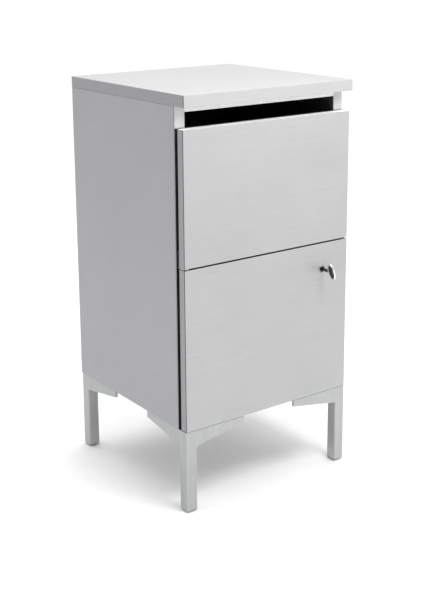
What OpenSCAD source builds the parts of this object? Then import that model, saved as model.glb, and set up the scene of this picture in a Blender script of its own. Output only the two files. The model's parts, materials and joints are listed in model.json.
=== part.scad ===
// Free-standing mail drop cabinet: a posting slot under the top board, a fixed
// upper front, a lockable door on pivot pins below it, and four cast corner legs.
// X is the width, the fronts face -Y, Z is up and the floor is z = 0.
// The origin is the middle of the footprint, the key in the lock included.

/* [Cabinet] */
// Overall width
width = 400; // [330:1:520]
// Depth of the top board
depth = 400; // [330:1:520]
// Overall height
height = 800; // [740:1:1000]
// Thickness of the top, side and bottom boards
board_t = 22; // [19:0.5:28]
// Thickness of the back panel
back_t = 16; // [12:0.5:22]
// Thickness of the edge bands and of the facings on the fronts
facing_t = 2.5; // [1.5:0.1:3.5]

/* [Fronts] */
// Thickness of the door and the upper front, facing included
front_t = 18; // [17:0.5:24]
// How far the fronts stand behind the top board's front edge
front_inset = 6; // [0:0.5:15]
// Air gap between the fronts and the carcass
front_gap = 6; // [5:0.5:10]
// Thickness of the black strips on the carcass in that gap
gap_strip_t = 1; // [0.5:0.1:1.5]
// How far the fronts stop short of the carcass sides
front_side_gap = 2; // [0.5:0.5:5]
// Height of the door
door_h = 315; // [260:1:360]
// Gap between the door and the upper front
joint_gap = 3; // [3:0.5:6]

/* [Slot and inside] */
// Clear height of the posting slot
slot_h = 28; // [20:1:45]
// Height of the rail under the top board
slot_rail_h = 12; // [10:1:24]
// Depth of the rail under the top board
slot_rail_d = 18; // [14:1:40]
// Thickness of the cross rail behind the gap between the fronts
mid_rail_t = 18; // [16:1:25]
// Depth of the cross rail
mid_rail_d = 80; // [70:1:120]
// Sheet thickness of the chute and the angle brackets
sheet_t = 1.5; // [1:0.1:2.5]
// Horizontal run of the chute plate
chute_run = 198; // [120:1:220]
// Drop of the chute plate
chute_drop = 116; // [60:1:140]
// Lip at the lower edge of the chute plate
chute_lip = 20; // [10:1:30]
// Height of the chute's side flanges
chute_flange = 18; // [14:1:24]

/* [Legs] */
// Floor to the top of the legs, where the carcass sits
leg_h = 164; // [100:1:200]
// Thickness of the steel plates let into the legs
plate_t = 2; // [1.5:0.1:3]
// How far the leg posts stand inside the carcass sides
leg_inset = 1; // [0:0.5:4]
// Radius of the post's upright edges
post_r = 2.5; // [1:0.5:5]
// Length of the arms from the outer corner
arm_l = 136; // [100:1:160]
// Thickness of the arms
arm_t = 6; // [4:0.5:10]
// Depth of an arm at its tip
arm_tip_h = 13; // [9:1:18]
// Depth of an arm at the post
arm_root_h = 32; // [22:1:45]
// Radius where an arm runs into the post
arm_fillet = 4; // [3:1:14]
// Thickness of the screw flange between the arms
flange_t = 4; // [3:0.5:6]
// Height of the glide under a post
glide_h = 3; // [2:0.5:6]
// Radius of the glide
glide_r = 9; // [6:0.5:9.5]

/* [Door pivots] */
// Radius of the pivot pins
pin_r = 3; // [2.5:0.1:3.5]
// Pivot axis from the door's left edge
pin_edge = 8; // [7:0.5:9]
// Depth of a pin in the door
pin_l = 13; // [8:1:20]
// Wall of the nylon bushes
bush_wall = 2; // [1.2:0.1:2.5]
// Flange of a bush, which also spaces the door
bush_flange = 0.5; // [0.4:0.1:1]
// Thickness of the steel bracket over the door
bracket_t = 2; // [1.5:0.1:2.2]

/* [Lock and key] */
// Lock axis from the door's right edge
lock_edge = 65; // [55:1:75]
// Lock axis below the door's top edge
lock_drop = 53; // [40:1:70]
// Radius of the lock's collar
collar_r = 9; // [9:0.5:13]
// Height of the collar in front of the door
collar_h = 1; // [1:0.1:3]
// Radius of the lock's barrel
barrel_r = 8; // [7.5:0.1:9]
// Radius of the turning plug
plug_r = 6; // [5.5:0.1:6.5]
// Turn of the plug at rest from the fully unlocked position
key_turn = 17; // [0:1:30]
// Length of the cam from the lock axis to its tip
cam_l = 40; // [36:1:43]
// Width of the cam
cam_w = 14; // [10:1:16]
// Thickness of the cam and the strike plate
cam_t = 2; // [1.5:0.1:2.5]
// Thickness of the key blade
blade_t = 2; // [1.5:0.1:2.5]
// Width of the key blade
blade_w = 6.4; // [5:0.1:7.5]
// Length of blade inside the plug
blade_in = 22; // [16:1:24]
// Length of blade between the lock and the bow
key_neck = 17.5; // [10:0.5:30]
// Width of the key's bow across the blade
bow_w = 37; // [26:1:40]
// Length of the bow along the blade
bow_l = 18.5; // [16:0.5:25]
// Thickness of the bow
bow_t = 4; // [3:0.5:6]

/* [Fittings] */
// Radius of the wooden dowels' bores
dowel_r = 4; // [3:0.5:4]
// Dowel length in the board whose face is drilled
dowel_face = 12; // [8:1:14]
// Dowel length in the board whose end is drilled
dowel_end = 18; // [12:1:25]
// Cam fitting's bolt axis to the middle of its housing
housing_back = 34; // [24:1:34]
// Radius of a cam fitting's housing
housing_r = 7.5; // [5:0.5:7.5]
// Shank radius of the wood screws
screw_r = 1.75; // [1.5:0.05:2.25]
// Grip of a wood screw in a board
screw_grip = 12; // [8:1:14]
// Shank radius of the leg screws
leg_screw_r = 2.5; // [2:0.1:3]
// Grip of a leg screw in the bottom board
leg_screw_grip = 16; // [10:1:17]

/* [Hidden] */
$fn = 48;
// Clearances: pieces at rest in each other, running fits, and air between moving faces
snug = 0.02;
running = 0.05;
air = 0.3;

// Heights, from the floor up
z_carcass = leg_h;
z_door = z_carcass + bush_flange;
z_door_top = z_door + door_h;
z_upper = z_door_top + joint_gap;
z_lid = height - board_t;
z_slot_top = z_lid - slot_rail_h;
z_upper_top = z_slot_top - slot_h;
z_bottom_top = z_carcass + board_t;
z_mid_rail = z_door_top + joint_gap / 2 - mid_rail_t / 2;

// Depths, from the front back. The key's reach beyond the top board is shared
// between front and back, so that the origin is the middle of the whole footprint.
key_reach = key_neck + bow_l + collar_h - front_inset;
y_lid = (key_reach - depth) / 2;
y_back = y_lid + depth;
y_face = y_lid + front_inset;
y_front_back = y_face + front_t;
y_carcass = y_front_back + front_gap;
y_back_panel = y_back - back_t;

// Widths
x_out = width / 2;
x_in = x_out - board_t;
x_side_mid = x_out - board_t / 2;
x_front = x_out - front_side_gap;

// Legs: the outer corner of each post. The square posts reach under the carcass from every side
x_leg = x_out - leg_inset;
y_leg_front = y_face;
y_leg_back = y_back - leg_inset;
post_w = max(board_t + 2, y_carcass - y_face);
plate_edge = post_w + 4;
plate_reach = plate_edge + 58;
plate_inset = 2;
hole_edge = plate_edge + 8;
hole_far = hole_edge + 34;
leg_holes = [[hole_edge + 4, hole_edge], [hole_far, hole_edge], [hole_edge, hole_far]];
flange_reach = plate_edge + plate_reach + 4;
glide_stem_r = 3;
glide_stem_l = 12;
arm_slope = atan2(arm_root_h - arm_tip_h, arm_l - post_w);
z_plate = leg_h - plate_t;
z_flange = z_plate - flange_t;

// Door pivots: the axis runs through the middle of the door's thickness
x_pivot = -x_front + pin_edge;
y_pivot = y_face + front_t / 2;
leg_pivot = [x_pivot + x_leg, y_pivot - y_leg_front];
bush_r = pin_r + running + bush_wall;
bush_flange_r = bush_r + 1.3;
bush_l = pin_l + 2;
z_bracket = z_door_top + bush_flange;
bracket_r = 7;
bracket_tab = 34;
pivot_screws_at = [12, bracket_tab - 8];

// Lock: the plug's axis, and the planes of the cam and the strike plate
x_lock = x_front - lock_edge;
z_lock = z_door_top - lock_drop;
y_lock = y_face - collar_h;
y_strike = y_carcass + 1.5;
y_cam = y_strike + cam_t + 2.5;
y_cam_back = y_cam + cam_t;
nut_h = 4;
nut_r = barrel_r + 3.5;
stud_r = 2.5;
cam_screw_r = 1.5;
cam_screw_l = 5;
cam_screw_head_r = 4.5;
blade_fit = 0.1;
strike_w = 18;
strike_h = 28;
strike_d = 26;
strike_screw_back = 9;
strike_screw_dz = 8;
key_ring_r = 2.5;

// Fittings
joint_ys = [y_leg_front + 53, (y_carcass + y_back_panel) / 2 - 2, y_leg_back - 53];
fitting_ys = [y_carcass + 95, y_back_panel - 79];
mid_rail_ys = [y_carcass + 22, y_carcass + mid_rail_d - 22];
back_zs = [z_bottom_top + 70, (z_bottom_top + z_lid) / 2, z_lid - 70];
housing_depth = board_t / 2 + 1.5;
cross_l = 7;
cross_w = 1.4;
cross_depth = 1.2;
bolt_r = 3.5;
bolt_thread_r = 2.5;
bolt_thread_l = 11;
bore_over = 0.5;
head_r = 3.5;
head_h = 2;
leg_head_r = 5;
leg_head_h = 3;
drive_r = 1.6;
bracket_zs = [z_upper + 35, z_upper_top - 45];
front_bracket_h = 24;
front_bracket_leg = 36;
bracket_screw_dz = 6;
bracket_screw_y = y_carcass + 18;
bracket_screw_x = x_in - 22;
buffer_r = 4;
buffer_zs = [z_door + 40, z_door_top - 25];
chute_y = y_carcass + 2;
chute_z = z_upper_top - 2;
x_chute = x_in - running;
chute_slope = atan2(chute_drop, chute_run);
chute_l = sqrt(chute_drop * chute_drop + chute_run * chute_run);
chute_screws_at = [40, chute_l - 40];

silver = [0.78, 0.79, 0.80];
silver_side = [0.68, 0.68, 0.69];
band_grey = [0.80, 0.81, 0.82];
core_grey = [0.55, 0.55, 0.56];
cast_grey = [0.70, 0.71, 0.70];
steel_grey = [0.60, 0.61, 0.63];
chrome_grey = [0.82, 0.82, 0.84];
zinc_grey = [0.72, 0.72, 0.70];
black_paint = [0.06, 0.06, 0.065];
black_plastic = [0.03, 0.03, 0.03];
nylon_white = [0.88, 0.87, 0.83];
beech = [0.76, 0.60, 0.40];

// ---- helpers ----

// Box from one corner to the opposite one
module box(low, high) {
    translate(low) cube(high - low);
}

// Draws its children, and their mirror image on the left
module both_sides() {
    for (side = [0, 1])
        mirror([side, 0, 0]) children();
}

// Square outline with round corners, corner at the origin
module round_square(w, r) {
    translate([r, 0]) square([w - 2 * r, w]);
    translate([0, r]) square([w, w - 2 * r]);
    for (u = [r, w - r], v = [r, w - r])
        translate([u, v]) circle(r);
}

// Screw with its head's seat at the origin and its shank along +Z
module screw(r, l, hr, hh) {
    cylinder(r = r, h = l);
    difference() {
        translate([0, 0, -hh]) cylinder(r = hr, h = hh);
        translate([0, 0, -hh - 1]) cylinder(r = drive_r, h = 1 + hh * 0.6, $fn = 6);
    }
}

module wood_screw(through) {
    screw(screw_r, through + screw_grip, head_r, head_h);
}

module wood_screw_bore(through) {
    translate([0, 0, -1]) cylinder(r = screw_r + snug, h = 1 + through + screw_grip + bore_over);
}

// ---- places ----

// Dowel joints: +Z points into the board whose face is drilled
module at_top_joints() {
    both_sides() for (y = joint_ys)
        translate([x_side_mid, y, z_lid]) children();
}

module at_bottom_joints() {
    both_sides() for (y = joint_ys)
        translate([x_in, y, z_carcass + board_t / 2]) rotate([0, 90, 0]) children();
}

module at_mid_rail_joints() {
    both_sides() for (y = mid_rail_ys)
        translate([x_in, y, z_mid_rail + mid_rail_t / 2]) rotate([0, 90, 0]) children();
}

module at_back_joints() {
    both_sides() for (z = back_zs)
        translate([x_in, y_back_panel + back_t / 2, z]) rotate([0, 90, 0]) children();
}

// Cam fittings: +Z points into the bolt's board, +X to the housing's open side
module at_top_fittings() {
    both_sides() for (y = fitting_ys)
        translate([x_side_mid, y, z_lid]) rotate([0, 0, 180]) children();
}

module at_bottom_fittings() {
    both_sides() for (y = fitting_ys)
        translate([x_in, y, z_carcass + board_t / 2]) rotate([0, 90, 0]) children();
}

// Leg frames: the post's outer corner, with +X and +Y running inwards
module at_leg(side, end) {
    translate([side * x_leg, end < 0 ? y_leg_front : y_leg_back, 0])
        mirror([side > 0 ? 1 : 0, 0, 0])
            mirror([0, end > 0 ? 1 : 0, 0]) children();
}

module at_every_leg() {
    for (side = [-1, 1], end = [-1, 1])
        at_leg(side, end) children();
}

module at_leg_holes() {
    for (p = leg_holes)
        translate([p[0], p[1], z_flange]) children();
}

// Angle brackets behind the upper front: into the side board, into the front
module at_bracket_side_screws() {
    both_sides() for (z = bracket_zs, dz = [-bracket_screw_dz, bracket_screw_dz])
        translate([x_in - sheet_t, bracket_screw_y, z + dz]) rotate([0, 90, 0]) children();
}

module at_bracket_front_screws() {
    both_sides() for (z = bracket_zs, dz = [-bracket_screw_dz, bracket_screw_dz])
        translate([bracket_screw_x, y_front_back + sheet_t, z + dz])
            rotate([90, 0, 0]) children();
}

module at_chute_screws() {
    both_sides() for (s = chute_screws_at)
        translate([0, chute_y, chute_z]) rotate([-chute_slope, 0, 0])
            translate([x_chute - sheet_t, s, chute_flange * 0.6]) rotate([0, 90, 0]) children();
}

module at_strike_screws() {
    for (dz = [-strike_screw_dz, strike_screw_dz])
        translate([x_in - cam_t, y_strike + strike_d - strike_screw_back, z_lock + dz])
            rotate([0, 90, 0]) children();
}

module at_pivot_screws() {
    for (dz = pivot_screws_at)
        translate([-x_side_mid, y_carcass - bracket_t, z_bracket + dz])
            rotate([-90, 0, 0]) children();
}

module at_slot_rail_screws() {
    for (x = [-1, 0, 1])
        translate([x * (x_in - 40), y_carcass + facing_t + (slot_rail_d - facing_t) / 2, z_slot_top])
            children();
}

// Lock axis, with +Z into the cabinet
module at_lock() {
    translate([x_lock, y_lock, z_lock]) rotate([-90, 0, 0]) children();
}

// The same axis turned with the plug: +Y is the way the cam points
module at_plug() {
    at_lock() rotate([0, 0, -key_turn]) children();
}

// ---- joining hardware and its bores ----

module dowel() {
    translate([0, 0, -dowel_end]) cylinder(r = dowel_r - snug, h = dowel_end + dowel_face);
}

module dowel_bore() {
    translate([0, 0, -dowel_end - bore_over])
        cylinder(r = dowel_r, h = dowel_end + dowel_face + 2 * bore_over);
}

module bolt() {
    translate([0, 0, -housing_back + housing_r / 2])
        cylinder(r = bolt_r - snug, h = housing_back - housing_r / 2);
    cylinder(r = bolt_thread_r - snug, h = bolt_thread_l);
}

module bolt_bore() {
    translate([0, 0, -housing_back]) cylinder(r = bolt_r, h = housing_back);
    translate([0, 0, -1]) cylinder(r = bolt_thread_r, h = bolt_thread_l + 1 + bore_over);
}

// Housing axis along X, its open face flush with the board's face
module housing_drum(r, end, over) {
    translate([board_t / 2 - housing_depth - end, 0, -housing_back]) rotate([0, 90, 0])
        cylinder(r = r, h = housing_depth + end + over);
}

module housing() {
    difference() {
        housing_drum(housing_r - snug, 0, 0);
        translate([0, 0, -housing_back]) cylinder(r = bolt_r + running, h = housing_r + 1);
        translate([board_t / 2 - cross_depth, 0, -housing_back]) {
            box([0, -cross_l / 2, -cross_w / 2], [2, cross_l / 2, cross_w / 2]);
            box([0, -cross_w / 2, -cross_l / 2], [2, cross_w / 2, cross_l / 2]);
        }
    }
}

module housing_bore() {
    housing_drum(housing_r, snug, 1);
}

module dowels() {
    color(beech) {
        at_top_joints() dowel();
        at_bottom_joints() dowel();
        at_mid_rail_joints() dowel();
        at_back_joints() dowel();
    }
}

module cam_bolts() {
    color(zinc_grey) {
        at_top_fittings() bolt();
        at_bottom_fittings() bolt();
    }
}

module cam_housings() {
    color(zinc_grey) {
        at_top_fittings() housing();
        at_bottom_fittings() housing();
    }
}

module leg_screws() {
    color(zinc_grey) at_every_leg() at_leg_holes()
        screw(leg_screw_r, flange_t + plate_t + leg_screw_grip, leg_head_r, leg_head_h);
}

module leg_screw_bore() {
    translate([0, 0, -1])
        cylinder(r = leg_screw_r + snug, h = 1 + flange_t + plate_t + leg_screw_grip + bore_over);
}

module front_bracket_screws() {
    color(zinc_grey) {
        at_bracket_side_screws() wood_screw(sheet_t);
        at_bracket_front_screws() wood_screw(sheet_t);
    }
}

module chute_screws() {
    color(zinc_grey) at_chute_screws() wood_screw(sheet_t);
}

module strike_screws() {
    color(zinc_grey) at_strike_screws() wood_screw(cam_t);
}

module pivot_screws() {
    color(zinc_grey) at_pivot_screws() wood_screw(bracket_t);
}

module slot_rail_screws() {
    color(zinc_grey) at_slot_rail_screws() translate([0, 0, head_h])
        wood_screw(slot_rail_h - head_h);
}

// ---- carcass ----

module top_board() {
    color(silver) difference() {
        box([-x_out, y_lid + facing_t, z_lid], [x_out, y_back, height]);
        at_top_joints() dowel_bore();
        at_top_fittings() bolt_bore();
        at_slot_rail_screws() wood_screw_bore(slot_rail_h);
    }
}

module top_edge_band() {
    color(band_grey) box([-x_out, y_lid, z_lid], [x_out, y_lid + facing_t, height]);
}

// Side board on the right; side is -1 for the left one
module side_board(side) {
    color(silver_side) difference() {
        box([side > 0 ? x_in : -x_out, y_carcass + facing_t, z_carcass],
            [side > 0 ? x_out : -x_in, y_back, z_lid]);
        at_top_joints() dowel_bore();
        at_bottom_joints() dowel_bore();
        at_mid_rail_joints() dowel_bore();
        at_back_joints() dowel_bore();
        at_top_fittings() bolt_bore();
        at_top_fittings() housing_bore();
        at_bottom_fittings() bolt_bore();
        at_bracket_side_screws() wood_screw_bore(sheet_t);
        at_chute_screws() wood_screw_bore(sheet_t);
        if (side > 0)
            at_strike_screws() wood_screw_bore(cam_t);
        else
            at_pivot_screws() wood_screw_bore(bracket_t);
    }
}

module side_edge_band(side) {
    color(band_grey) difference() {
        box([side > 0 ? x_in : -x_out, y_carcass, z_carcass],
            [side > 0 ? x_out : -x_in, y_carcass + facing_t, z_lid]);
        if (side < 0)
            at_pivot_screws() wood_screw_bore(bracket_t);
    }
}

module side_left() {
    side_board(-1);
}

module side_right() {
    side_board(1);
}

module side_left_edge_band() {
    side_edge_band(-1);
}

module side_right_edge_band() {
    side_edge_band(1);
}

module bottom_board() {
    color(silver_side) difference() {
        box([-x_in, y_carcass, z_carcass], [x_in, y_back_panel, z_bottom_top]);
        at_bottom_joints() dowel_bore();
        at_bottom_fittings() bolt_bore();
        at_bottom_fittings() housing_bore();
        at_every_leg() at_leg_holes() leg_screw_bore();
    }
}

module back_panel() {
    color(silver_side) difference() {
        box([-x_in, y_back_panel, z_carcass], [x_in, y_back, z_lid]);
        at_back_joints() dowel_bore();
    }
}

module mid_rail() {
    color(silver_side) difference() {
        box([-x_in, y_carcass, z_mid_rail], [x_in, y_carcass + mid_rail_d, z_mid_rail + mid_rail_t]);
        at_mid_rail_joints() dowel_bore();
    }
}

module slot_rail() {
    color(band_grey) difference() {
        box([-x_in, y_carcass, z_slot_top], [x_in, y_carcass + slot_rail_d, z_lid]);
        at_slot_rail_screws() {
            translate([0, 0, head_h]) wood_screw_bore(slot_rail_h);
            translate([0, 0, -1]) cylinder(r = head_r + running, h = head_h + 1);
        }
    }
}

// ---- fixed upper front, its brackets and the chute ----

module upper_front_board() {
    color(core_grey) difference() {
        box([-x_front, y_face + facing_t, z_upper], [x_front, y_front_back, z_upper_top]);
        at_bracket_front_screws() wood_screw_bore(sheet_t);
    }
}

module upper_front_facing() {
    color(silver) box([-x_front, y_face, z_upper], [x_front, y_face + facing_t, z_upper_top]);
}

// Angle bracket on the right at height z
module front_bracket(z) {
    color(zinc_grey) difference() {
        union() {
            box([x_in - sheet_t, y_front_back, z - front_bracket_h / 2],
                [x_in, y_front_back + front_bracket_leg, z + front_bracket_h / 2]);
            box([x_in - front_bracket_leg, y_front_back, z - front_bracket_h / 2],
                [x_in, y_front_back + sheet_t, z + front_bracket_h / 2]);
        }
        at_bracket_side_screws() wood_screw_bore(sheet_t);
        at_bracket_front_screws() wood_screw_bore(sheet_t);
    }
}

module front_bracket_lower_right() {
    front_bracket(bracket_zs[0]);
}

module front_bracket_upper_right() {
    front_bracket(bracket_zs[1]);
}

module front_bracket_lower_left() {
    mirror([1, 0, 0]) front_bracket(bracket_zs[0]);
}

module front_bracket_upper_left() {
    mirror([1, 0, 0]) front_bracket(bracket_zs[1]);
}

// Bent sheet that sends the post to the back of the cabinet
module mail_chute() {
    color(black_paint) difference() {
        union() {
            translate([0, chute_y, chute_z]) rotate([-chute_slope, 0, 0]) {
                box([-x_chute, 0, 0], [x_chute, chute_l, sheet_t]);
                both_sides() box([x_chute - sheet_t, 0, 0], [x_chute, chute_l, chute_flange]);
            }
            translate([0, chute_y + chute_run, chute_z - chute_drop])
                box([-x_chute, -sheet_t, -chute_lip], [x_chute, 0, sheet_t / 2]);
        }
        at_chute_screws() wood_screw_bore(sheet_t);
    }
}

// ---- legs ----

// Side view of an arm, along X from the post's outer corner, with the fillet's arc
function arm_outline() =
    let (drop = arm_fillet * (1 - sin(arm_slope)) / cos(arm_slope),
         z_root = leg_h - arm_root_h,
         centre = [post_w + arm_fillet, z_root - drop])
    concat(
        [[post_r, leg_h], [arm_l, leg_h], [arm_l, leg_h - arm_tip_h]],
        [for (i = [0 : 6])
            let (a = 90 + arm_slope + i * (90 - arm_slope) / 6)
            centre + arm_fillet * [cos(a), sin(a)]],
        [[post_r, centre[1]]]);

// Cast leg in its own frame: post, two arms and the screw flange between them
module leg_body() {
    difference() {
        union() {
            translate([0, 0, glide_h]) linear_extrude(leg_h - glide_h) round_square(post_w, post_r);
            translate([0, arm_t, 0]) rotate([90, 0, 0]) linear_extrude(arm_t) polygon(arm_outline());
            rotate([90, 0, 90]) linear_extrude(arm_t) polygon(arm_outline());
            translate([0, 0, z_flange]) linear_extrude(flange_t)
                polygon([[post_r, post_r], [flange_reach, post_r], [post_r, flange_reach]]);
        }
        at_leg_holes() leg_screw_bore();
        translate([post_w / 2, post_w / 2, 0])
            cylinder(r = glide_stem_r + snug, h = glide_h + glide_stem_l + bore_over);
    }
}

module leg(side, end) {
    color(cast_grey) at_leg(side, end) leg_body();
}

// This leg has a pocket in its top for the tongue of the door's pivot plate
module leg_front_left() {
    color(cast_grey) at_leg(-1, -1) difference() {
        leg_body();
        translate([0, 0, z_plate]) linear_extrude(plate_t + 1) pivot_tongue_outline(air);
    }
}

module leg_front_right() {
    leg(1, -1);
}

module leg_back_left() {
    leg(-1, 1);
}

module leg_back_right() {
    leg(1, 1);
}

// Steel plate on a leg's flange, under the carcass
module leg_plate_outline() {
    polygon([[plate_edge, plate_edge], [plate_reach, plate_edge], [plate_edge, plate_reach]]);
}

module leg_plate(side, end) {
    color(steel_grey) at_leg(side, end) difference() {
        translate([0, 0, z_plate]) linear_extrude(plate_t) leg_plate_outline();
        at_leg_holes() leg_screw_bore();
    }
}

module leg_plate_front_right() {
    leg_plate(1, -1);
}

module leg_plate_back_left() {
    leg_plate(-1, 1);
}

module leg_plate_back_right() {
    leg_plate(1, 1);
}

module glide(side, end) {
    color(black_plastic) at_leg(side, end) translate([post_w / 2, post_w / 2, 0]) {
        cylinder(r = glide_r, h = glide_h);
        cylinder(r = glide_stem_r, h = glide_h + glide_stem_l);
    }
}

module glide_front_left() {
    glide(-1, -1);
}

module glide_front_right() {
    glide(1, -1);
}

module glide_back_left() {
    glide(-1, 1);
}

module glide_back_right() {
    glide(1, 1);
}

// ---- door pivots ----

// Angle over the door: a tongue that holds the pin and a tab on the side's front edge
module pivot_bracket_top() {
    color(steel_grey) difference() {
        union() {
            translate([x_pivot, y_pivot, z_bracket]) cylinder(r = bracket_r, h = bracket_t);
            box([x_pivot - bracket_r, y_pivot, z_bracket],
                [x_pivot + bracket_r, y_carcass, z_bracket + bracket_t]);
            box([x_pivot - bracket_r, y_carcass - bracket_t, z_bracket],
                [x_pivot + bracket_r, y_carcass, z_bracket + bracket_tab]);
        }
        translate([x_pivot, y_pivot, z_bracket - 1]) cylinder(r = pin_r + snug, h = bracket_t + 2);
        at_pivot_screws() wood_screw_bore(bracket_t);
    }
}

module pivot_pin_top() {
    color(chrome_grey) translate([x_pivot, y_pivot, z_door_top - pin_l])
        cylinder(r = pin_r, h = pin_l + bush_flange + bracket_t);
}

// Tongue round the pivot and back beside the leg's left arm, in the leg's own frame
module pivot_tongue_outline(grow) {
    translate([leg_pivot[0], leg_pivot[1]]) circle(leg_pivot[0] - plate_inset + grow);
    translate([plate_inset - grow, leg_pivot[1]])
        square([2 * (leg_pivot[0] - plate_inset + grow), post_w - leg_pivot[1]]);
    translate([arm_t + air, leg_pivot[1]])
        square([plate_edge - arm_t, plate_reach - plate_edge]);
}

// The front left leg's plate, with the tongue forward to the pivot
module pivot_plate_bottom() {
    color(steel_grey) at_leg(-1, -1) difference() {
        translate([0, 0, z_plate]) linear_extrude(plate_t) {
            leg_plate_outline();
            pivot_tongue_outline(0);
        }
        translate([leg_pivot[0], leg_pivot[1], 0]) cylinder(r = pin_r + snug, h = leg_h + 1);
        at_leg_holes() leg_screw_bore();
    }
}

module pivot_pin_bottom() {
    color(chrome_grey) translate([x_pivot, y_pivot, z_plate])
        cylinder(r = pin_r, h = plate_t + bush_flange + pin_l);
}

// Bush at the origin, its flange below, its bore open upwards
module bush() {
    difference() {
        union() {
            translate([0, 0, -bush_flange]) cylinder(r = bush_flange_r, h = bush_flange);
            cylinder(r = bush_r, h = bush_l);
        }
        translate([0, 0, -bush_flange - 1]) cylinder(r = pin_r + running, h = bush_flange + 1 + pin_l + 1);
    }
}

module pivot_bush_bottom() {
    color(nylon_white) translate([x_pivot, y_pivot, z_door]) bush();
}

module pivot_bush_top() {
    color(nylon_white) translate([x_pivot, y_pivot, z_door_top]) mirror([0, 0, 1]) bush();
}

// ---- door ----

module door_bores() {
    for (z = [z_door - 1, z_door_top - bush_l - bore_over])
        translate([x_pivot, y_pivot, z]) cylinder(r = bush_r + snug, h = bush_l + bore_over + 1);
    at_lock() cylinder(r = barrel_r + running, h = collar_h + front_t + 1);
}

module door_board() {
    color(core_grey) difference() {
        box([-x_front, y_face + facing_t, z_door], [x_front, y_front_back, z_door_top]);
        door_bores();
    }
}

module door_facing() {
    color(silver) difference() {
        box([-x_front, y_face, z_door], [x_front, y_face + facing_t, z_door_top]);
        door_bores();
    }
}

// Rubber buffers on the right black strip
module door_buffers() {
    color(black_plastic) for (z = buffer_zs)
        translate([x_side_mid, y_carcass - gap_strip_t, z]) rotate([90, 0, 0])
            cylinder(r = buffer_r, h = front_gap - gap_strip_t - air);
}

// Black strips on the front edges of the sides, behind the fronts
module gap_strip_right() {
    color(black_plastic)
        box([x_in, y_carcass - gap_strip_t, z_carcass], [x_out, y_carcass, z_upper_top]);
}

module gap_strip_left() {
    color(black_plastic) difference() {
        mirror([1, 0, 0]) gap_strip_right();
        box([x_pivot - bracket_r - snug, y_carcass - 2 * gap_strip_t, z_bracket - snug],
            [x_pivot + bracket_r + snug, y_carcass + 1, z_bracket + bracket_tab + snug]);
    }
}

// ---- lock and key ----

module lock_housing() {
    color(chrome_grey) at_lock() difference() {
        union() {
            cylinder(r = collar_r, h = collar_h);
            cylinder(r = barrel_r, h = y_cam - y_lock - air);
        }
        translate([0, 0, -1]) cylinder(r = plug_r + running, h = y_cam - y_lock + 1);
    }
}

module lock_nut() {
    color(zinc_grey) at_lock() translate([0, 0, collar_h + front_t]) difference() {
        cylinder(r = nut_r, h = nut_h, $fn = 6);
        translate([0, 0, -1]) cylinder(r = barrel_r + running, h = nut_h + 2);
    }
}

module lock_plug() {
    color(chrome_grey) at_plug() difference() {
        union() {
            cylinder(r = plug_r, h = y_cam - y_lock);
            cylinder(r = stud_r, h = y_cam_back - y_lock);
        }
        box([-blade_t / 2 - blade_fit, -blade_w / 2 - blade_fit, -1],
            [blade_t / 2 + blade_fit, blade_w / 2 + blade_fit, blade_in + 1]);
        translate([0, 0, y_cam_back - y_lock - cam_screw_l - bore_over])
            cylinder(r = cam_screw_r + snug, h = cam_screw_l + bore_over + 1);
    }
}

module lock_cam() {
    color(zinc_grey) at_plug() translate([0, 0, y_cam - y_lock]) difference() {
        union() {
            cylinder(r = cam_w / 2, h = cam_t);
            box([-cam_w / 2, 0, 0], [cam_w / 2, cam_l - cam_w / 2, cam_t]);
            translate([0, cam_l - cam_w / 2, 0]) cylinder(r = cam_w / 2, h = cam_t);
        }
        translate([0, 0, -1]) cylinder(r = stud_r + snug, h = cam_t + 2);
    }
}

module cam_screw() {
    color(zinc_grey) at_plug() translate([0, 0, y_cam_back - y_lock]) rotate([180, 0, 0])
        screw(cam_screw_r, cam_screw_l, cam_screw_head_r, head_h);
}

// Angle on the right side board; the turned cam swings behind its front leg
module strike_plate() {
    color(zinc_grey) difference() {
        union() {
            box([x_in - strike_w, y_strike, z_lock - strike_h / 2],
                [x_in, y_strike + cam_t, z_lock + strike_h / 2]);
            box([x_in - cam_t, y_strike, z_lock - strike_h / 2],
                [x_in, y_strike + strike_d, z_lock + strike_h / 2]);
        }
        at_strike_screws() wood_screw_bore(cam_t);
    }
}

module key_blade() {
    color(chrome_grey) at_plug()
        box([-blade_t / 2, -blade_w / 2, -key_neck - bow_l / 2],
            [blade_t / 2, blade_w / 2, blade_in]);
}

// Chromed bow: an oval plate round the end of the blade, with a hole for a ring
module key_bow() {
    end_r = bow_l / 2;
    color(chrome_grey) at_plug() translate([0, 0, -key_neck - end_r]) difference() {
        rotate([0, 90, 0]) translate([0, 0, -bow_t / 2]) {
            for (side = [-1, 1])
                translate([0, side * (bow_w / 2 - end_r), 0]) cylinder(r = end_r, h = bow_t);
            box([-end_r, end_r - bow_w / 2, 0], [end_r, bow_w / 2 - end_r, bow_t]);
        }
        box([-blade_t / 2, -blade_w / 2, 0], [blade_t / 2, blade_w / 2, end_r + 1]);
        translate([0, 0, -end_r * 0.55]) rotate([0, 90, 0])
            translate([0, 0, -bow_t]) cylinder(r = key_ring_r, h = 2 * bow_t);
    }
}

// ---- nodes ----

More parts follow.
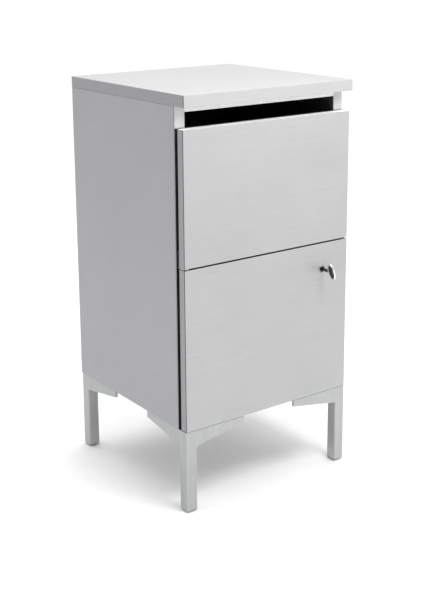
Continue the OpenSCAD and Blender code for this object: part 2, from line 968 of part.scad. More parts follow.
top_board();
top_edge_band();
side_left();
side_left_edge_band();
side_right();
side_right_edge_band();
bottom_board();
back_panel();
mid_rail();
slot_rail();
upper_front_board();
upper_front_facing();
front_bracket_upper_left();
front_bracket_upper_right();
front_bracket_lower_left();
front_bracket_lower_right();
mail_chute();
pivot_bracket_top();
pivot_pin_top();
pivot_plate_bottom();
pivot_pin_bottom();
strike_plate();
door_buffers();
gap_strip_left();
gap_strip_right();
leg_front_left();
leg_front_right();
leg_back_left();
leg_back_right();
leg_plate_front_right();
leg_plate_back_left();
leg_plate_back_right();
glide_front_left();
glide_front_right();
glide_back_left();
glide_back_right();
dowels();
cam_bolts();
cam_housings();
leg_screws();
front_bracket_screws();
chute_screws();
strike_screws();
pivot_screws();
slot_rail_screws();
door_board();
door_facing();
pivot_bush_top();
pivot_bush_bottom();
lock_housing();
lock_nut();
lock_plug();
lock_cam();
cam_screw();
key_blade();
key_bow();
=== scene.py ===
"""Looks of the free-standing mail drop cabinet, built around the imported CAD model."""

import json
import math

import bmesh
import bpy
from mathutils import Matrix, Vector


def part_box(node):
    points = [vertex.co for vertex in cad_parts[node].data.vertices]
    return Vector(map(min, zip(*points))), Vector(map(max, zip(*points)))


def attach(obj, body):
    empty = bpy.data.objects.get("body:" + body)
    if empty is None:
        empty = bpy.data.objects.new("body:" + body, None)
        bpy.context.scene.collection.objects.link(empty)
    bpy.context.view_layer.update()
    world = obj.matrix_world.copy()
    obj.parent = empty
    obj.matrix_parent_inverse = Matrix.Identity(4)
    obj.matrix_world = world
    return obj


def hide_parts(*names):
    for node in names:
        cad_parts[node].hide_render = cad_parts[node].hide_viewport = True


MM = 0.001
WELD = 1e-6  # points closer than this are one
FACING = 0.6  # a face looks along an axis if its normal has this much of it
NOISE_LOW, NOISE_HIGH = 0.3, 0.7  # between these lies nearly all of a noise texture
X, Y, Z = range(3)
MIX_FACTOR, MIX_A, MIX_B, MIX_COLOUR = 0, 6, 7, 2  # a Mix node's sockets for colours
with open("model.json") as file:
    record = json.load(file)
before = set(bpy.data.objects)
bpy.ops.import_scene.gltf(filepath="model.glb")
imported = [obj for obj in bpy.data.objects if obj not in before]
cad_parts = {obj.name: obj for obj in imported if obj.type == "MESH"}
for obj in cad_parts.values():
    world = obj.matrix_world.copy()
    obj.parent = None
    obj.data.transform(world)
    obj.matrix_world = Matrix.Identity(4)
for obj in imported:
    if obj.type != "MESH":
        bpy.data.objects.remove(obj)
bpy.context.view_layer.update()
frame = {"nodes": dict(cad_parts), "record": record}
nodes = frame["nodes"]


# ---- shader helpers ----


class Shader:
    """A node material around one Principled BSDF, whose texture space is the row frame in metres."""

    def __init__(self, name, **constants):
        self.material = bpy.data.materials.new(name)
        self.material.use_nodes = True
        self.tree = self.material.node_tree
        self.bsdf = self.tree.nodes["Principled BSDF"]
        for socket, value in constants.items():
            self.bsdf.inputs[socket.replace("_", " ")].default_value = value
        self.coords = self.tree.nodes.new("ShaderNodeTexCoord").outputs["Object"]

    def link(self, output, socket):
        self.tree.links.new(output, socket)

    def stretched(self, scale, turn=(0, 0, 0)):
        """Coordinates scaled by one number, or by one for each axis: large numbers make the
        pattern finer."""
        mapping = self.tree.nodes.new("ShaderNodeMapping")
        mapping.inputs["Scale"].default_value = (scale,) * 3 if isinstance(scale, int) else scale
        mapping.inputs["Rotation"].default_value = turn
        self.link(self.coords, mapping.inputs["Vector"])
        return mapping.outputs["Vector"]

    def noise(self, vector, detail, roughness=0.5, distortion=0.0):
        node = self.tree.nodes.new("ShaderNodeTexNoise")
        node.inputs["Scale"].default_value = 1.0
        node.inputs["Detail"].default_value = detail
        node.inputs["Roughness"].default_value = roughness
        node.inputs["Distortion"].default_value = distortion
        self.link(vector, node.inputs["Vector"])
        return node.outputs["Fac"]

    def voronoi(self, vector):
        node = self.tree.nodes.new("ShaderNodeTexVoronoi")
        node.inputs["Scale"].default_value = 1.0
        self.link(vector, node.inputs["Vector"])
        return node.outputs["Distance"]

    def wave(self, vector, distortion, detail=2.0):
        """Bands across X of the coordinates."""
        node = self.tree.nodes.new("ShaderNodeTexWave")
        node.bands_direction = "X"
        node.inputs["Scale"].default_value = 1.0
        node.inputs["Distortion"].default_value = distortion
        node.inputs["Detail"].default_value = detail
        self.link(vector, node.inputs["Vector"])
        return node.outputs["Fac"]

    def ranged(self, value, low, high, from_low=NOISE_LOW, from_high=NOISE_HIGH):
        """The value moved from one range to another."""
        node = self.tree.nodes.new("ShaderNodeMapRange")
        node.inputs["From Min"].default_value = from_low
        node.inputs["From Max"].default_value = from_high
        node.inputs["To Min"].default_value = low
        node.inputs["To Max"].default_value = high
        self.link(value, node.inputs["Value"])
        return node.outputs["Result"]

    def math(self, operation, a, b):
        node = self.tree.nodes.new("ShaderNodeMath")
        node.operation = operation
        for socket, value in zip(node.inputs, (a, b)):
            if isinstance(value, (int, float)):
                socket.default_value = value
            else:
                self.link(value, socket)
        return node.outputs["Value"]

    def weighted(self, a, share_a, b, share_b):
        """The sum of two patterns, each times its share."""
        return self.math("ADD", self.math("MULTIPLY", a, share_a), self.math("MULTIPLY", b, share_b))

    def ramp(self, value, stops):
        """A colour ramp: stops are (place, colour)."""
        node = self.tree.nodes.new("ShaderNodeValToRGB")
        ramp = node.color_ramp
        while len(ramp.elements) < len(stops):
            ramp.elements.new(0.5)
        for element, (place, colour) in zip(ramp.elements, stops):
            element.position = place
            element.color = (*colour, 1.0)
        self.link(value, node.inputs["Fac"])
        return node.outputs["Color"]

    def two_tone(self, value, colour, dark, light):
        """The colour times dark where a noise is low, and times light where it is high."""
        return self.ramp(value, [(NOISE_LOW, toned(colour, dark)), (NOISE_HIGH, toned(colour, light))])

    def mix(self, factor, a, b):
        """Colour a where the factor is 0 and colour b where it is 1."""
        node = self.tree.nodes.new("ShaderNodeMix")
        node.data_type = "RGBA"
        self.link(factor, node.inputs[MIX_FACTOR])
        for socket, value in zip((node.inputs[MIX_A], node.inputs[MIX_B]), (a, b)):
            if isinstance(value, tuple):
                socket.default_value = (*value, 1.0)
            else:
                self.link(value, socket)
        return node.outputs[MIX_COLOUR]

    def colour(self, output):
        self.link(output, self.bsdf.inputs["Base Color"])
        return self

    def rough(self, output):
        self.link(output, self.bsdf.inputs["Roughness"])
        return self

    def bump(self, height, depth, strength):
        """Height from 0 to 1 stands for depth millimetres."""
        node = self.tree.nodes.new("ShaderNodeBump")
        node.inputs["Strength"].default_value = strength
        node.inputs["Distance"].default_value = depth * MM
        self.link(height, node.inputs["Height"])
        self.link(node.outputs["Normal"], self.bsdf.inputs["Normal"])
        return self


def toned(colour, factor):
    return tuple(min(1.0, channel * factor) for channel in colour)


def along(axis, fine, coarse):
    """Scale for each axis of a grain that runs along one axis."""
    return tuple(coarse if i == axis else fine for i in (X, Y, Z))


# ---- materials ----

# Colours of the finishes, linear
# One laminate toned three ways, for the top, the fronts and the sides: painted light and shade, lighter
# or darker by how light falls on each face.
SILVER_TOP_PAINTED_LIGHT = (0.368, 0.368, 0.373)
SILVER_FRONT_PAINTED_LIGHT = (0.430, 0.431, 0.437)
SILVER_SIDE_PAINTED_LIGHT = (0.380, 0.381, 0.394)
SILVER_TOP_SIDE = (0.315, 0.316, 0.328)
BAND = (0.450, 0.450, 0.455)
# The side boards' front bands: the band above made lighter, as painted light.
BAND_UPRIGHT_PAINTED_LIGHT = (0.600, 0.600, 0.606)
# Near white band: a painted highlight on the upper front's top, and on the slot rail against the shade
# under the top.
BAND_PAINTED_HIGHLIGHT = (0.930, 0.930, 0.935)
# Near black inside faces: painted shade for the deep shade in the slot and behind the fronts.
LINING_PAINTED_SHADE = (0.050, 0.050, 0.053)
# Dark core of cut edges, also used as painted shade in the gaps between the fronts and under the side
# boards.
EDGE_CORE_AND_SHADE = (0.055, 0.054, 0.056)
BAND_END = (0.230, 0.230, 0.238)
ALUMINIUM = (0.425, 0.431, 0.433)
STEEL = (0.440, 0.445, 0.455)
YELLOW_DARK = (0.400, 0.390, 0.340)
YELLOW_LIGHT = (0.520, 0.510, 0.450)
ZINC = (0.580, 0.570, 0.540)
CHROME = (0.780, 0.785, 0.795)
# Near black nickel: painted shade on the key blade and lock plug, painted dark reflection in the key
# bow's field.
NICKEL_SHADE_AND_REFLECTION = (0.070, 0.069, 0.073)
SATIN = (0.400, 0.402, 0.408)
BLACK_PAINT = (0.030, 0.029, 0.031)
BLACK_PLASTIC = (0.010, 0.010, 0.011)
NYLON = (0.720, 0.700, 0.640)
BEECH_LIGHT = (0.560, 0.370, 0.200)
BEECH_DARK = (0.380, 0.220, 0.105)
RUBBER_DARK = (0.014, 0.014, 0.014)
RUBBER_LIGHT = (0.034, 0.033, 0.032)
PAPER_DARK = (0.835, 0.835, 0.838)
PAPER_LIGHT = (0.855, 0.855, 0.858)
WHITE = (1.0, 1.0, 1.0, 1.0)  # with its alpha, for a socket


def brushed_board(name, colour, grain):
    """Metal-look laminate: hairlines along the grain, cloudy sheen and a fine pitted surface."""
    s = Shader(name, Metallic=0.35, IOR=1.48, Specular_IOR_Level=0.45)
    hair = s.noise(s.stretched(along(grain, 2600, 26)), detail=4, roughness=0.6)
    streak = s.noise(s.stretched(along(grain, 520, 5)), detail=3, roughness=0.55)
    cloud = s.noise(s.stretched(9), detail=2)
    lines = s.weighted(hair, 0.6, streak, 0.4)
    tone = s.weighted(lines, 0.8, cloud, 0.2)
    s.colour(s.ramp(tone, [(0.25, toned(colour, 0.85)), (0.5, colour), (0.75, toned(colour, 1.14))]))
    s.rough(s.ranged(tone, 0.36, 0.52))
    return s.bump(lines, 0.03, 0.35).material


def edge_band(name, colour, grain):
    """Edge band: the same metal look, smoother and without clouds."""
    s = Shader(name, Metallic=0.25, IOR=1.48)
    hair = s.noise(s.stretched(along(grain, 1800, 20)), detail=3)
    s.colour(s.two_tone(hair, colour, 0.93, 1.06))
    s.rough(s.ranged(hair, 0.34, 0.46))
    return s.bump(hair, 0.02, 0.3).material


def edge_line(name, colour):
    """Cut edge of a laminate or a band: layered, slightly uneven. Its darkest copy also paints shade in
    the gap between the fronts and under the side boards.
    """
    s = Shader(name, IOR=1.5)
    layers = s.noise(s.stretched((900, 900, 90)), detail=4, roughness=0.7)
    s.colour(s.two_tone(layers, colour, 0.75, 1.3))
    s.rough(s.ranged(layers, 0.42, 0.66))
    return s.bump(layers, 0.04, 0.4).material


def dark_painted_shade_lining(name):
    """Dark melamine look on the inner faces, as painted shade for the deep shade in the slot and behind
    the fronts: pearl grain, faintly cloudy.
    """
    s = Shader(name, IOR=1.5, Specular_IOR_Level=0.25)
    pearl = s.noise(s.stretched(900), detail=4, roughness=0.6)
    cloud = s.noise(s.stretched(9), detail=2)
    base = s.two_tone(pearl, LINING_PAINTED_SHADE, 0.8, 1.25)
    s.colour(s.mix(s.ranged(cloud, 0.0, 0.4), base, toned(LINING_PAINTED_SHADE, 0.75)))
    s.rough(s.ranged(pearl, 0.55, 0.72))
    return s.bump(pearl, 0.04, 0.35).material


def cast_aluminium(name):
    """Aluminium casting ground upright: streaks, faint flow clouds, satin grain and small pits."""
    s = Shader(name, Metallic=0.5)
    grain = s.noise(s.stretched(1100), detail=5, roughness=0.65)
    hair = s.noise(s.stretched((900, 900, 14)), detail=4, roughness=0.6)
    streak = s.noise(s.stretched((150, 150, 4)), detail=3, roughness=0.6)
    flow = s.noise(s.stretched((28, 28, 16)), detail=3, distortion=0.6)
    pits = s.voronoi(s.stretched(420))
    ground = s.weighted(hair, 0.35, streak, 0.65)
    tone = s.weighted(ground, 0.7, flow, 0.3)
    s.colour(s.ramp(tone, [(0.35, toned(ALUMINIUM, 0.90)), (0.65, toned(ALUMINIUM, 1.09))]))
    s.rough(s.ranged(tone, 0.28, 0.46))
    relief = s.weighted(grain, 0.4, hair, 0.4)
    height = s.math("ADD", relief, s.ranged(pits, 0.0, 0.2, 0.0, 0.25))
    return s.bump(height, 0.06, 0.35).material


def rolled_steel(name):
    """Zinc-plated sheet: rolling streaks with blue and yellow tints."""
    s = Shader(name, Metallic=1.0)
    roll = s.noise(s.stretched((900, 40, 900)), detail=3)
    tint = s.noise(s.stretched(60), detail=2)
    base = s.two_tone(roll, STEEL, 0.85, 1.12)
    warm = s.ramp(roll, [(NOISE_LOW, YELLOW_DARK), (NOISE_HIGH, YELLOW_LIGHT)])
    s.colour(s.mix(s.ranged(tint, 0.0, 0.6, 0.45, 0.7), base, warm))
    s.rough(s.ranged(roll, 0.24, 0.42))
    return s.bump(roll, 0.03, 0.3).material


def plated_zinc(name):
    """Die-cast and plated hardware: mottled, a little worn."""
    s = Shader(name, Metallic=1.0)
    mottle = s.noise(s.stretched(700), detail=4, roughness=0.6)
    cells = s.voronoi(s.stretched(350))
    base = s.two_tone(mottle, ZINC, 0.80, 1.12)
    s.colour(s.mix(s.ranged(cells, 0.0, 0.35, 0.2, 0.6), base, toned(ZINC, 0.72)))
    s.rough(s.ranged(mottle, 0.26, 0.48))
    return s.bump(mottle, 0.04, 0.35).material


def polished_metal(name, colour, rough):
    """Plated metal with hairline handling marks; rough is the lowest and highest roughness."""
    s = Shader(name, Metallic=1.0)
    marks = s.noise(s.stretched((300, 3800, 900)), detail=5, roughness=0.7)
    haze = s.noise(s.stretched(160), detail=2)
    s.colour(s.two_tone(haze, colour, 0.90, 1.08))
    s.rough(s.ranged(marks, *rough))
    return s.bump(marks, 0.01, 0.2).material


def threaded_metal(name, colour):
    """Satin plate whose turned thread runs along Y at a pitch of 1 mm."""
    s = Shader(name, Metallic=0.8)
    grain = s.noise(s.stretched(900), detail=4)
    thread = s.wave(s.stretched((0, 0, 314), turn=(math.pi / 2, 0, 0)), distortion=0.0)
    s.colour(s.two_tone(grain, colour, 0.90, 1.08))
    s.rough(s.ranged(grain, 0.30, 0.44))
    return s.bump(thread, 0.4, 0.6).material


def powder_black(name):
    """Black powder coat: orange peel and a dusting of lighter specks."""
    s = Shader(name, IOR=1.5, Specular_IOR_Level=0.3)
    peel = s.noise(s.stretched(520), detail=2)
    specks = s.voronoi(s.stretched(1500))
    base = s.two_tone(peel, BLACK_PAINT, 0.7, 1.6)
    s.colour(s.mix(s.ranged(specks, 0.5, 0.0, 0.0, 0.12), base, toned(BLACK_PAINT, 3.0)))
    s.rough(s.ranged(peel, 0.48, 0.64))
    return s.bump(peel, 0.12, 0.4).material


def moulded_black(name):
    """Moulded black plastic with a fine spark grain."""
    s = Shader(name, IOR=1.5)
    grain = s.noise(s.stretched(1400), detail=3)
    cloud = s.noise(s.stretched(120), detail=2)
    s.colour(s.two_tone(cloud, BLACK_PLASTIC, 0.8, 1.8))
    s.rough(s.ranged(grain, 0.42, 0.62))
    return s.bump(grain, 0.03, 0.4).material


def soft_rubber(name):
    """Matt rubber with bloom and fine pores."""
    s = Shader(name, IOR=1.5, Sheen_Weight=0.25, Sheen_Roughness=0.5)
    bloom = s.noise(s.stretched(260), detail=4, roughness=0.6)
    pores = s.voronoi(s.stretched(900))
    s.colour(s.ramp(bloom, [(NOISE_LOW, RUBBER_DARK), (NOISE_HIGH, RUBBER_LIGHT)]))
    s.rough(s.ranged(bloom, 0.72, 0.9))
    return s.bump(pores, 0.06, 0.4).material


def natural_nylon(name):
    """Natural nylon: milky, faintly uneven, with light passing under its skin."""
    s = Shader(name, IOR=1.53, Subsurface_Weight=0.25, Subsurface_Scale=0.003)
    milk = s.noise(s.stretched(380), detail=3)
    s.colour(s.two_tone(milk, NYLON, 0.92, 1.06))
    s.rough(s.ranged(milk, 0.38, 0.54))
    return s.bump(milk, 0.03, 0.3).material


def beech_wood(name):
    """Beech dowel: rings and short dark rays along the grain."""
    s = Shader(name)
    rings = s.wave(s.stretched((700, 40, 700)), distortion=6.0, detail=3.0)
    rays = s.noise(s.stretched((1800, 160, 1800)), detail=4, roughness=0.65)
    tone = s.weighted(rings, 0.5, rays, 0.5)
    s.colour(s.ramp(tone, [(0.25, BEECH_DARK), (0.75, BEECH_LIGHT)]))
    s.rough(s.ranged(rays, 0.55, 0.75))
    return s.bump(tone, 0.08, 0.4).material


# Top, front and side laminates: one finish, toned apart as painted light and shade.
front_laminate_painted_light = brushed_board("brushed_front_painted_light", SILVER_FRONT_PAINTED_LIGHT, grain=X)
top_laminate_painted_light = brushed_board("brushed_top_painted_light", SILVER_TOP_PAINTED_LIGHT, grain=X)
side_laminate_painted_light = brushed_board("brushed_side_painted_light", SILVER_SIDE_PAINTED_LIGHT, grain=Y)
top_side_band = edge_band("top_side_band", SILVER_TOP_SIDE, grain=Y)
front_side_band = edge_band("front_side_band", SILVER_TOP_SIDE, grain=Z)
band_across = edge_band("band_across", BAND, grain=X)
band_upright_painted_light = edge_band("band_upright_painted_light", BAND_UPRIGHT_PAINTED_LIGHT, grain=Z)
band_painted_highlight = edge_band("band_painted_highlight", BAND_PAINTED_HIGHLIGHT, grain=X)
dark_core_and_shade = edge_line("laminate_core_and_painted_shade", EDGE_CORE_AND_SHADE)
band_end = edge_line("band_end", BAND_END)
painted_shade_lining = dark_painted_shade_lining("dark_painted_shade_lining")
aluminium = cast_aluminium("cast_aluminium")
steel = rolled_steel("plated_sheet")
zinc = plated_zinc("plated_zinc")
chrome = polished_metal("chrome", CHROME, rough=(0.07, 0.20))
nickel_painted_shade_and_reflection = polished_metal("nickel_painted_shade_and_reflection", NICKEL_SHADE_AND_REFLECTION, rough=(0.10, 0.22))
threaded_nickel = threaded_metal("threaded_nickel", SATIN)
black_sheet = powder_black("powder_black")
black_plastic = moulded_black("moulded_black")
rubber = soft_rubber("rubber")
nylon = natural_nylon("nylon")
beech = beech_wood("beech")


# ---- mesh helpers ----


def new_piece(name, bm, materials, body, stands_for, sharp=35):
    """Makes an object of a bmesh, rides it on its body and hides the CAD node that it stands for.
    Edges over sharp degrees stay sharp."""
    bmesh.ops.recalc_face_normals(bm, faces=bm.faces)
    mesh = bpy.data.meshes.new(name)
    bm.to_mesh(mesh)
    bm.free()
    for material in materials:
        mesh.materials.append(material)
    mesh.shade_smooth()
    mesh.set_sharp_from_angle(angle=math.radians(sharp))
    piece = bpy.data.objects.new(name, mesh)
    bpy.context.scene.collection.objects.link(piece)
    piece.modifiers.new("even_shading", "WEIGHTED_NORMAL").keep_sharp = True
    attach(piece, body)
    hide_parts(stands_for)


def cad_copy(node):
    """The CAD node's mesh as a bmesh of its own, welded, with flat triangles merged."""
    bm = bmesh.new()
    bm.from_mesh(nodes[node].data)
    bmesh.ops.remove_doubles(bm, verts=bm.verts, dist=WELD)
    bmesh.ops.dissolve_limit(bm, angle_limit=math.radians(1), verts=bm.verts, edges=bm.edges)
    return bm


def ease(bm, edges, radius, segments=3):
    """Rounds these edges."""
    bmesh.ops.bevel(bm, geom=list(edges), offset=radius, segments=segments, profile=0.5,
                    affect="EDGES", clamp_overlap=True)


def outer_edges(bm, low, high):
    """Edges that lie along the twelve edges of the box from low to high."""
    near = 1e-5

    def sides(point):
        return {
            (i, end)
            for i in (X, Y, Z)
            for end, value in ((0, low[i]), (1, high[i]))
            if abs(point[i] - value) < near
        }

    return [e for e in bm.edges if len(sides(e.verts[0].co) & sides(e.verts[1].co)) >= 2]


def sharp_edges(bm, degrees):
    """Edges whose two faces meet at more than this angle."""
    limit = math.radians(degrees)
    return [e for e in bm.edges if len(e.link_faces) == 2 and e.calc_face_angle(0) > limit]


def painted_by_normal(bm, tests):
    """Gives each face the index of the first test that its normal passes, counted from 1."""
    bm.normal_update()
    for face in bm.faces:
        passed = [i for i, test in enumerate(tests) if test(face.normal)]
        face.material_index = passed[0] + 1 if passed else 0


def towards(axis, sign):
    """A test for faces that look along an axis; sign 0 takes both ways."""
    return lambda normal: (abs(normal[axis]) if sign == 0 else sign * normal[axis]) > FACING


def board(node, material, inside=None, radius=0.5 * MM, body="cabinet", also=()):
    """A board: the CAD node with its bores kept and its outer edges rounded.
    inside is the way its inner face looks, which is painted dark as shade, and also lists more (test,
    material) pairs."""
    bm = cad_copy(node)
    ease(bm, outer_edges(bm, *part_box(node)), radius)
    pairs = ([(towards(*inside), painted_shade_lining)] if inside else []) + list(also)
    painted_by_normal(bm, [test for test, _ in pairs])
    materials = [material] + [m for _, m in pairs]
    new_piece(f"{node}_finished", bm, materials, body, node)


def faced(node, material, ends, radius=0.35 * MM, body="cabinet", also=()):
    """A thin band or facing: its broad faces are finished, and its left and right ends show
    their core; also lists more (test, material) pairs."""
    bm = cad_copy(node)
    ease(bm, outer_edges(bm, *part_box(node)), radius, segments=2)
    painted_by_normal(bm, [towards(X, 0)] + [test for test, _ in also])
    materials = [material, ends] + [m for _, m in also]
    new_piece(f"{node}_finished", bm, materials, body, node)


def eased(node, material, radius, degrees=30, segments=2, body="cabinet"):
    """A casting, turned or sheet part: the CAD node with every sharp edge rounded."""
    bm = cad_copy(node)
    ease(bm, sharp_edges(bm, degrees), radius, segments)
    new_piece(f"{node}_finished", bm, [material], body, node)


def turned(profile, steps, origin):
    """A body of revolution standing on origin: profile is a closed line of (height, radius)."""
    bm = bmesh.new()
    rings = []
    for i in range(steps):
        angle = 2 * math.pi * i / steps
        rings.append([bm.verts.new((r * math.cos(angle), r * math.sin(angle), z)) for z, r in profile])
    count = len(profile)
    for i in range(steps):
        here, there = rings[i], rings[(i + 1) % steps]
        for k in range(count):
            n = (k + 1) % count
            if profile[k][1] or profile[n][1]:
                bm.faces.new((here[k], here[n], there[n], there[k]))
    bmesh.ops.translate(bm, vec=origin, verts=bm.verts)
    bmesh.ops.remove_doubles(bm, verts=bm.verts, dist=WELD)
    return bm


# ---- cabinet ----


def build_boards():
    """Carcass: laminate outside, toned by face direction as painted light and shade, a dark lining inside
    as painted shade, the side boards' bottom faces painted dark as contact shade, and bands on the front
    edges.
    """
    board("top_board", top_laminate_painted_light, radius=0.8 * MM, also=[(towards(X, 0), top_side_band)])
    # The side boards' bottom faces are painted dark: painted contact shade where they meet the leg arms.
    painted_contact_shade = [(towards(Z, -1), dark_core_and_shade)]
    board("side_left", side_laminate_painted_light, inside=(X, 1), radius=1.2 * MM, also=painted_contact_shade)
    board("side_right", side_laminate_painted_light, inside=(X, -1), radius=1.2 * MM, also=painted_contact_shade)
    board("bottom_board", side_laminate_painted_light, inside=(Z, 1))
    board("back_panel", side_laminate_painted_light, inside=(Y, -1))
    # The mid rail, seen through the gap between the fronts, is all dark: painted shade.
    board("mid_rail", painted_shade_lining)
    # Slot rail in the near-white band: painted highlight, lifting it out of its shade.
    board("slot_rail", band_painted_highlight)
    faced("top_edge_band", band_across, dark_core_and_shade)
    faced("side_left_edge_band", band_upright_painted_light, band_end)
    faced("side_right_edge_band", band_upright_painted_light, band_end)


def build_fronts():
    """The upper front's top is painted near white as a highlight; both faces of the gap under it are
    painted dark as shade, and the fronts' backs get the lining as painted shade.
    """
    upper_painted_light = [(towards(Z, 1), band_painted_highlight), (towards(Z, -1), dark_core_and_shade)]
    lower_painted_shade = [(towards(Z, 1), dark_core_and_shade)]
    sides = [(towards(X, 0), front_side_band)]
    board("upper_front_board", front_laminate_painted_light, inside=(Y, 1), also=upper_painted_light + sides)
    board("door_board", front_laminate_painted_light, inside=(Y, 1), body="door", also=lower_painted_shade + sides)
    faced("upper_front_facing", front_laminate_painted_light, dark_core_and_shade, also=upper_painted_light)
    faced("door_facing", front_laminate_painted_light, dark_core_and_shade, body="door", also=lower_painted_shade)


def build_legs():
    """Cast legs, each on its glide."""
    for end in ("front_left", "front_right", "back_left", "back_right"):
        eased(f"leg_{end}", aluminium, 1.2 * MM, segments=3)
        build_glide(f"glide_{end}")


def build_glide(node):
    """Rounded glide on its stem."""
    low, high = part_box(node)
    foot_r = (high.x - low.x) / 2
    foot_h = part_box(node.replace("glide", "leg"))[0].z
    stem_r = foot_r / 3
    lower_rim = [(0, foot_r - 2 * MM), (0.5 * MM, foot_r - 0.6 * MM), (1.2 * MM, foot_r)]
    upper_rim = [(foot_h - 0.8 * MM, foot_r), (foot_h - 0.2 * MM, foot_r - 0.5 * MM)]
    shoulder = [(foot_h, foot_r - 1 * MM), (foot_h, stem_r)]
    stem = [(high.z - 1 * MM, stem_r), (high.z, stem_r - 0.6 * MM), (high.z, 0)]
    profile = [(0, 0), *lower_rim, *upper_rim, *shoulder, *stem]
    middle = Vector(((low.x + high.x) / 2, (low.y + high.y) / 2, 0))
    bm = turned(profile, steps=40, origin=middle)
    new_piece(f"{node}_finished", bm, [black_plastic], "cabinet", node)


# Hardware that keeps its CAD shape: body, material, slot, rounding of its edges in mm, nodes
HARDWARE = [
    ("cabinet", steel, "steel", 0.35,
     ["leg_plate_front_right", "leg_plate_back_left", "leg_plate_back_right", "pivot_plate_bottom",
      "pivot_bracket_top", "pivot_pin_top", "pivot_pin_bottom"]),
    ("cabinet", zinc, "zinc", 0.30,
     ["front_bracket_upper_left", "front_bracket_upper_right", "front_bracket_lower_left",
      "front_bracket_lower_right", "strike_plate", "cam_housings", "cam_bolts", "leg_screws",
      "front_bracket_screws", "chute_screws", "strike_screws", "pivot_screws", "slot_rail_screws"]),
    ("cabinet", black_sheet, "black_sheet", 0.30, ["mail_chute"]),
    # Black strips behind the fronts' gap: black plastic, also darkening the gap as painted shade.
    ("cabinet", black_plastic, "black_plastic", 0.20, ["gap_strip_left", "gap_strip_right"]),
    ("cabinet", rubber, "rubber", 0.80, ["door_buffers"]),
    ("cabinet", beech, "beech", 0.80, ["dowels"]),
    ("door", nylon, "nylon", 0.15, ["pivot_bush_top", "pivot_bush_bottom"]),
    ("door", zinc, "zinc", 0.40, ["lock_nut"]),
    ("door", threaded_nickel, "chrome", 0.30, ["lock_housing"]),
    # The lock plug in near black nickel: its dark keyway, with painted shade.
    ("lock_barrel", nickel_painted_shade_and_reflection, "chrome", 0.25, ["lock_plug"]),
    ("lock_barrel", zinc, "zinc", 0.35, ["lock_cam", "cam_screw"]),
]


def build_hardware():
    for body, material, slot, radius, names in HARDWARE:
        for name in names:
            eased(name, material, radius * MM, degrees=40, body=body)


# ---- lock and key ----


def key_axes():
    """The key's frame at rest: X through its thickness, Y across it, Z from the bow into the lock."""
    turn = next(j for j in frame["record"]["behaviour"]["joints"] if j["name"] == "lock_turn")
    lean = math.radians(-turn["range_deg"][0])
    across = Vector((-math.sin(lean), 0, math.cos(lean)))
    into = Vector((0, 1, 0))
    axes = Matrix((across.cross(into), across, into)).transposed().to_4x4()
    return Matrix.Translation(Vector(turn["pos_m"])) @ axes


def lofted(sections, closed):
    """Joins equal loops of points with quads; closed also joins the last loop to the first."""
    bm = bmesh.new()
    loops = [[bm.verts.new(point) for point in section] for section in sections]
    pairs = list(zip(loops, loops[1:]))
    if closed:
        pairs.append((loops[-1], loops[0]))
    else:
        bm.faces.new(loops[0])
        bm.faces.new(loops[-1])
    for here, there in pairs:
        count = len(here)
        for i in range(count):
            n = (i + 1) % count
            bm.faces.new((here[i], here[n], there[n], there[i]))
    return bm


def build_key_bow(place, width, length, thickness, start):
    """Oval bow with a raised chrome rim, a sunken field in near black nickel as a painted dark
    reflection, and a hole for a ring.
    start is its end nearest the lock."""
    middle = Vector((0, 0, start - length / 2))
    hole_share = 0.27  # how far the hole is past the middle, as a share of the length
    hole = middle - Vector((0, 0, hole_share * length))
    hole_r = 2.5 * MM
    field_end = 0.76
    # (share of the way from the hole to the rim, share of half the thickness)
    profile = [(0.00, 0.45), (0.03, 0.72), (0.08, 0.80), (0.14, 0.80), (0.20, 0.66), (0.45, 0.70)]
    profile += [(0.70, 0.66), (field_end, 0.72), (0.82, 0.98), (0.88, 1.00), (0.95, 0.80), (0.99, 0.38)]
    levels = profile + [(1.0, 0.0)] + [(share, -height) for share, height in reversed(profile)]
    steps = 96
    sections = []
    for share, height in levels:
        loop = []
        for i in range(steps):
            angle = 2 * math.pi * i / steps
            across, out = math.cos(angle), math.sin(angle)
            rim = middle + Vector((0, across * width / 2, out * length / 2))
            near = hole + Vector((0, hole_r * across, hole_r * out))
            point = near.lerp(rim, share)
            point.x = height * thickness / 2
            loop.append(point)
        sections.append(loop)
    bm = lofted(sections, closed=True)
    for k, face in enumerate(bm.faces):
        ring = k // steps
        outermost = max(levels[ring][0], levels[(ring + 1) % len(levels)][0])
        # The field gets the near black nickel: a painted dark reflection; the rim stays chrome.
        face.material_index = 1 if outermost <= field_end else 0
    bmesh.ops.transform(bm, matrix=place, verts=bm.verts)
    new_piece("key_bow_finished", bm, [chrome, nickel_painted_shade_and_reflection], "key", "key_bow", sharp=50)


